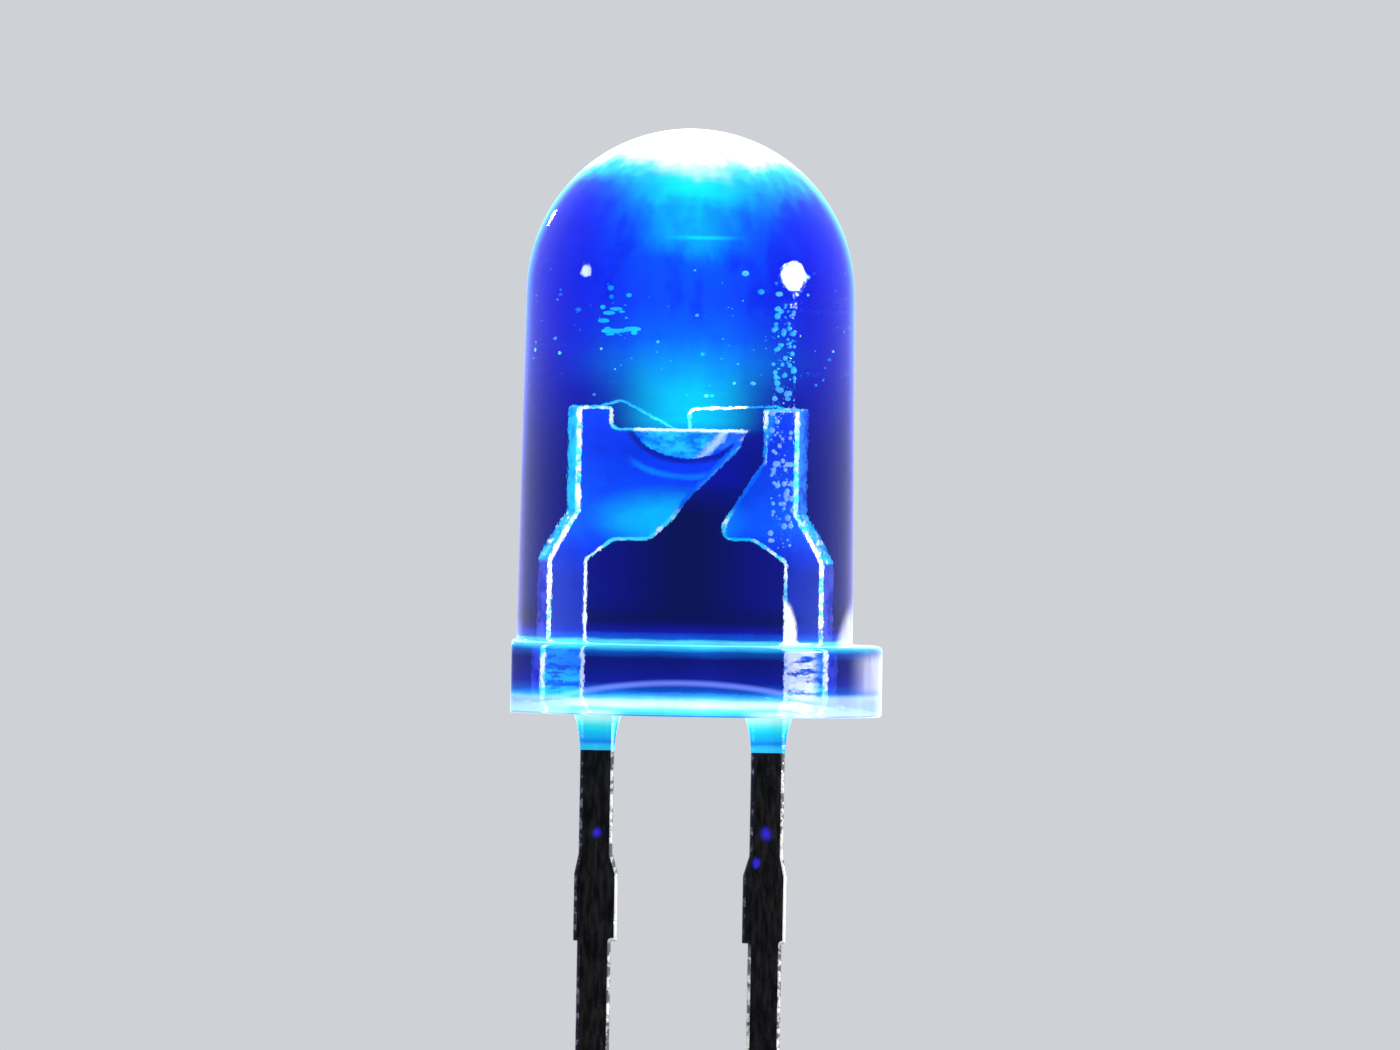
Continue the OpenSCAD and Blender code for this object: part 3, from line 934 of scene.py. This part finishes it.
def wire_finish():
    """Drawn gold that glows in the die's light."""
    f = Finish("gold_wire")
    vector, x, _, z = f.place()
    drawn = f.noise(f.stretched(vector, (60.0, 60.0, 12.0)), 1.0)
    light = f.mix(x.between(0.50, 0.60), (1.0, 1.0, 0.3), glowing((0.003, 0.10, 0.30)))
    light = f.lit(x.between(0.0, -0.15), light, (0.003, 0.12, 0.30))
    drop = z.between(4.52, 4.42) * x.between(0.3, 0.2) * x.between(-0.1, 0.0)
    return f.surface(
        Base_Color=f.mix(drawn, (1.0, 0.72, 0.30), (1.0, 0.82, 0.45)),
        Metallic=1.0,
        Roughness=0.12 + 0.2 * drawn,
        Emission_Color=f.lit(drop, light, (0.05, 0.25, 0.32)),
        Emission_Strength=3.0 * GLOW,
    )


def bubble_finish():
    """Trapped air that glints in the light of the die."""
    f = Finish("bubble")
    vector, x, y, z = f.place()
    tone = f.noise(vector, 3.0, 1.0, 0.5)
    light = f.lit(tone.between(0.4, 0.6), (0.0, 0.30, 0.95), (0.15, 0.85, 1.0), depth=0.3)
    high = f.lit(tone, (0.0, 0.14, 0.85), (0.03, 0.50, 0.93), depth=0.2)
    low = f.lit(tone, (0.02, 0.18, 0.80), (0.24, 0.40, 0.88), depth=0.2)
    drawn = f.lit(tone, (0.0, 0.2, 0.85), (0.0, 0.6, 0.92), depth=0.2)
    front = y.between(-1.6, -1.7)
    light = f.mix(front * x.between(1.1, 1.2), light, f.mix(z.between(4.9, 4.6), high, low))
    light = f.mix(front * x.between(-0.4, -0.6) * z.between(5.4, 5.5), light, drawn)
    return f.surface(
        Base_Color=(0.02, 0.1, 0.4, 1.0),
        Roughness=0.3 + 0.2 * tone,
        Emission_Color=light,
        Emission_Strength=GLOW,
    )


def dress(obj, *materials):
    """Gives an object its materials. A new mesh's faces keep the slots they were made with."""
    slots = obj.data.materials
    if slots:
        slots.clear()
    for material in materials:
        slots.append(material)


# Bubbles


class Tree(Nodes):
    """A Geometry Nodes tree being made."""

    def __init__(self, name):
        super().__init__(bpy.data.node_groups.new(name, "GeometryNodeTree"))
        self.values = {}
        self.socket("Geometry", "INPUT", "NodeSocketGeometry")
        self.socket("Geometry", "OUTPUT", "NodeSocketGeometry")
        self.start = self.node("NodeGroupInput").socket.node

    def socket(self, name, way, kind):
        return self.tree.interface.new_socket(name, in_out=way, socket_type=kind)

    def setting(self, name, kind, value):
        """A named input of the tree, which the modifier sets to value."""
        self.values[self.socket(name, "INPUT", kind).identifier] = value
        return Value(self, self.start.outputs[name])

    def random(self, low, high, seed):
        return self.node(
            "FunctionNodeRandomValue", {"data_type": "FLOAT"}, {2: low, 3: high, "Seed": seed}, 1
        )

    def dressed(self, geometry, material):
        return self.node(
            "GeometryNodeSetMaterial", inputs={"Geometry": geometry, "Material": material}
        )

    def make(self, name, geometry):
        """Runs the tree on an empty mesh, and leaves a plain mesh."""
        self.node("NodeGroupOutput", inputs={0: geometry})
        obj = as_object(name, bpy.data.meshes.new(name))
        made = obj.modifiers.new("made", "NODES")
        made.node_group = self.tree
        for identifier, value in self.values.items():
            made[identifier] = value
        bake_modifiers(obj)
        return obj


def bubble_cloud(tree, finish, count, seed, radii, turns, depths, heights, stretch):
    """Instances of a small ball, scattered between two radii, turns and heights in metres."""
    points = tree.node("GeometryNodePoints", inputs={"Count": count})
    out = tree.random(*depths, seed)
    turn = tree.random(*turns, seed + 1)
    up = tree.random(*heights, seed + 2)
    place = tree.node("ShaderNodeCombineXYZ", inputs={
        0: out * tree.math("COSINE", turn), 1: out * tree.math("SINE", turn), 2: up,
    })
    spread = tree.node("GeometryNodeSetPosition", inputs={"Geometry": points, "Position": place})
    size = radii[0] + tree.random(0.0, 1.0, seed + 3) ** 3.0 * (radii[1] - radii[0])
    wide = size * tree.random(1.0, stretch, seed + 4)
    ball = tree.node("GeometryNodeMeshIcoSphere", inputs={"Radius": 1.0, "Subdivisions": 2})
    return tree.node("GeometryNodeInstanceOnPoints", inputs={
        "Points": spread,
        "Instance": tree.dressed(ball, finish),
        "Scale": tree.node("ShaderNodeCombineXYZ", inputs={0: wide, 1: size, 2: size}),
    })


def bubbles(s):
    """Air bubbles: loose, in a streak along the mould's wall, and drawn out into dashes."""
    tree = Tree("bubbles")
    finish = bubble_finish()
    seed = tree.setting("Seed", "NodeSocketInt", s.seed)
    small = tree.setting("Small", "NodeSocketFloat", s.small)
    large = tree.setting("Large", "NodeSocketFloat", s.large)
    fine = tree.setting("Fine", "NodeSocketFloat", s.fine)
    joined = tree.node("GeometryNodeJoinGeometry")
    # Count, largest radius, turns in degrees, distances from the axis and heights in mm, stretch
    for name, count, largest, turns, depths, heights, stretch in (
        ("Loose", s.loose, large, (0, 360), (1.6, 2.32), (4.7, 6.6), 1.5),
        ("Streak", s.streak, fine, (-59, -49), (2.32, 2.36), (2.5, 6.1), 1.1),
        ("Dashes", s.dashes, fine, (-124, -109), (2.24, 2.34), (5.60, 5.70), 6.0),
        ("Flecks", s.flecks, large, (-124, -110), (2.24, 2.34), (5.78, 6.12), 4.0),
    ):
        seed = seed + 10
        cloud = bubble_cloud(
            tree, finish, tree.setting(name, "NodeSocketInt", count), seed, (small, largest),
            [math.radians(turn) for turn in turns],
            [depth * MM for depth in depths],
            [height * MM for height in heights],
            stretch,
        )
        tree.tree.links.new(cloud.socket, joined.socket.node.inputs[0])
    real = tree.node("GeometryNodeRealizeInstances", inputs={"Geometry": joined})
    return tree.make("air_bubbles", tree.dressed(real, finish))


# Operators


def finish_piece(obj, node):
    """Ties a piece to its body, and hides the CAD node it stands for."""
    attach(obj, "root")
    if node:
        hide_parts(node)


class LED_OT_lens(bpy.types.Operator):
    """Builds the epoxy casting"""

    bl_idname = "led.lens"
    bl_label = "Lens"

    def execute(self, context):
        scene = context.scene
        s = scene.led_lens
        reach = flat_reach(s.body_d / 2 + s.root_fillet)
        lens = lathe("epoxy_lens", lens_profile(s), s.segments, reach)
        for side in (-1, 1):
            combine(lens, sleeve(scene.led_sleeve, scene.led_frame, side), "UNION")
        shade(lens.data)
        dress(lens, epoxy())
        finish_piece(lens, "lens")
        return {"FINISHED"}


class LED_OT_bubbles(bpy.types.Operator):
    """Scatters the air bubbles caught in the epoxy"""

    bl_idname = "led.bubbles"
    bl_label = "Bubbles"

    def execute(self, context):
        finish_piece(bubbles(context.scene.led_bubbles), None)
        return {"FINISHED"}


class LED_OT_leads(bpy.types.Operator):
    """Builds the two stamped leads and the reflector cup"""

    bl_idname = "led.leads"
    bl_label = "Leads"

    def execute(self, context):
        s, cup = context.scene.led_frame, context.scene.led_cup
        slots = (
            steel("plated_steel", face_light),
            steel("cut_side", side_light),
            steel("rolled_edge", edge_light, rolled=True),
            steel("shoulder", shoulder_light),
            steel("lit_bowl", bowl_light),
            steel("polished_cup", cup_light),
        )
        cathode = stamping("stamped_cathode", cathode_corners(s, cup), s)
        dress(cathode, *slots)
        bowl, hollow = self.bowl(cup), self.hollow(cup)
        for tool in (bowl, hollow):
            dress(tool, *slots)
        combine(cathode, bowl, "UNION")
        combine(cathode, hollow, "DIFFERENCE")
        anode = stamping("stamped_anode", anode_corners(s, cup), s)
        dress(anode, *slots[:BOWL])
        for obj, node in ((cathode, "cathode_lead"), (anode, "anode_lead")):
            shade(obj.data)
            finish_piece(obj, node)
        return {"FINISHED"}

    def bowl(self, s):
        """The solid bowl: part of a ball, with a rounded rim."""
        rim_z = rim_height(s)
        depth = s.depth + s.floor_t
        ball_r = (s.bowl_r**2 + depth**2) / (2 * depth)
        centre = rim_z - depth + ball_r
        start = math.degrees(math.asin((rim_z - s.rim_edge - centre) / ball_r))
        ball = arc((0, centre), ball_r, start, -90, 32)
        ball[-1] = (0, centre - ball_r)
        edge = arc((ball[0][0] - s.rim_edge, rim_z - s.rim_edge), s.rim_edge, 90, 0, 6)[:-1]
        profile = [(0, rim_z), *edge, *ball]
        return lathe("bowl", profile, 128, slot=BOWL)

    def hollow(self, s):
        """The space inside the cup, drawn past its rim."""
        rim_z = rim_height(s)
        over = 0.1 * MM
        flare = (s.rim_r - s.floor_r) / s.depth
        profile = [
            (0, rim_z + over),
            (s.rim_r + over * flare, rim_z + over),
            (s.floor_r, CUP_FLOOR),
            (0, CUP_FLOOR),
        ]
        return lathe("hollow", profile, 128, slot=CUP)


class LED_OT_die(bpy.types.Operator):
    """Finishes the die, its adhesive and the bond wires"""

    bl_idname = "led.die"
    bl_label = "Die and wires"

    def execute(self, context):
        nodes = frame["nodes"]
        dress(nodes["led_die"], die_finish())
        dress(nodes["die_attach"], adhesive_finish())
        gold = wire_finish()
        for node in ("anode_bond_wire", "cathode_bond_wire"):
            dress(nodes[node], gold)
        return {"FINISHED"}


class LED_OT_stage(bpy.types.Operator):
    """Sets the floor, the studio light and the camera"""

    bl_idname = "led.stage"
    bl_label = "Stage"

    def execute(self, context):
        s = context.scene.led_stage
        scene = context.scene
        scene.view_settings.view_transform = "Standard"
        self.camera(scene, s)
        self.floor(s)
        self.world(scene, s)
        self.lamps()
        return {"FINISHED"}

    def camera(self, scene, s):
        data = bpy.data.cameras.new("camera")
        data.sensor_width = 36.0
        data.lens = 36.0 * s.distance / s.view_w
        data.clip_start = 0.01
        data.clip_end = 10.0
        cam = as_object("camera", data)
        target = Vector((0.2 * MM, 0, 2.81 * MM))
        back = Vector((
            math.sin(s.azimuth) * math.cos(s.elevation),
            -math.cos(s.azimuth) * math.cos(s.elevation),
            math.sin(s.elevation),
        ))
        cam.location = target + back * s.distance
        cam.rotation_mode = "QUATERNION"
        cam.rotation_quaternion = (-back).to_track_quat("-Z", "Y") @ Matrix.Rotation(
            s.roll, 3, "Z"
        ).to_quaternion()
        scene.camera = cam

    def floor(self, s):
        """A plain floor that takes on the backdrop's colour away from the LED."""
        bm = bmesh.new()
        bmesh.ops.create_circle(bm, cap_ends=True, segments=96, radius=0.3)
        bmesh.ops.translate(bm, verts=bm.verts, vec=(0, 0, CAD_BOX[0][2]))
        floor = from_bmesh("floor", bm)
        f = Finish("floor")
        vector, *_ = f.place()
        far = f.distance(vector, (0.0, 0.0, CAD_BOX[0][2] / MM)).between(60.0, 250.0)
        lit = f.node(
            "ShaderNodeBsdfDiffuse", inputs={"Color": (*s.backdrop, 1.0), "Roughness": 0.5}
        )
        shown = f.node("ShaderNodeEmission", inputs={"Color": (*s.backdrop, 1.0)})
        both = f.node("ShaderNodeMixShader", inputs={0: far, 1: lit, 2: shown})
        f.node("ShaderNodeOutputMaterial", inputs={"Surface": both})
        dress(floor, f.material)

    def world(self, scene, s):
        """Soft white light all round, with the backdrop's colour where it is seen."""
        scene.world = bpy.data.worlds.new("studio")
        scene.world.use_nodes = True
        w = Nodes(scene.world.node_tree)
        rays = w.node("ShaderNodeLightPath").socket.node.outputs
        seen = Value(w, rays["Is Camera Ray"])
        for ray in ("Is Glossy Ray", "Is Transmission Ray"):
            seen = w.math("MAXIMUM", Value(w, rays[ray]), seen)
        light = w.node("ShaderNodeBackground")
        shown = w.node("ShaderNodeBackground", inputs={"Color": (*s.backdrop, 1.0)})
        both = w.node("ShaderNodeMixShader", inputs={0: seen, 1: light, 2: shown})
        w.node("ShaderNodeOutputWorld", inputs={"Surface": both})

    def lamps(self):
        """A soft key light, and lamps that only make highlights.

        Each has an azimuth, lowest and highest point, distance, width and power, in degrees, mm
        and watts.
        """
        for name, azimuth, low, high, distance, width, power in (
            ("strip_right", 78, 12, 53, 150, 58, 0.75),
            ("spot_left", -80, 26, 44, 150, 22, 0.06),
            ("edge_right", 78, -25, -5, 150, 58, 0.012),
            ("rim_left", -150, 41, 51, 150, 11, 0.03),
            ("key", 160, 420, 560, 170, 140, 0.5),
        ):
            data = bpy.data.lights.new(name, "AREA")
            data.shape = "ELLIPSE"
            data.size = width * MM
            data.size_y = (high - low) * MM
            data.energy = power
            lamp = as_object(name, data)
            turn = math.radians(azimuth)
            place = MM * Vector((
                math.sin(turn) * distance, -math.cos(turn) * distance, (low + high) / 2
            ))
            lamp.location = place
            lamp.rotation_mode = "QUATERNION"
            lamp.rotation_quaternion = (place - Vector((0, 0, 4 * MM))).to_track_quat("Z", "Y")
            lamp.visible_camera = False
            lamp.visible_diffuse = name == "key"
            lamp.visible_transmission = name != "rim_left"


class LED_PT_panel(bpy.types.Panel):
    """The sidebar's list of steps and their sizes"""

    bl_idname = "LED_PT_panel"
    bl_label = "Through-hole LED"
    bl_space_type = "VIEW_3D"
    bl_region_type = "UI"
    bl_category = "LED"

    def draw(self, context):
        for step in STEPS:
            self.layout.operator(step.bl_idname)
        for name in SETTINGS:
            box = self.layout.box()
            group = getattr(context.scene, name)
            for field in group.bl_rna.properties:
                if not field.is_readonly and field.identifier != "name":
                    box.prop(group, field.identifier)


SETTINGS = {
    "led_lens": LensSettings,
    "led_sleeve": SleeveSettings,
    "led_frame": FrameSettings,
    "led_cup": CupSettings,
    "led_bubbles": BubbleSettings,
    "led_stage": StageSettings,
}
STEPS = (LED_OT_lens, LED_OT_bubbles, LED_OT_leads, LED_OT_die, LED_OT_stage)


def register():
    for cls in (*SETTINGS.values(), *STEPS, LED_PT_panel):
        bpy.utils.register_class(cls)
    for name, cls in SETTINGS.items():
        setattr(bpy.types.Scene, name, PointerProperty(type=cls))


def unregister():
    for name in SETTINGS:
        delattr(bpy.types.Scene, name)
    for cls in reversed((*SETTINGS.values(), *STEPS, LED_PT_panel)):
        bpy.utils.unregister_class(cls)


def main():
    register()
    bpy.ops.led.lens()
    bpy.ops.led.bubbles()
    bpy.ops.led.leads()
    bpy.ops.led.die()
    bpy.ops.led.stage()


if __name__ == "__main__":
    main()
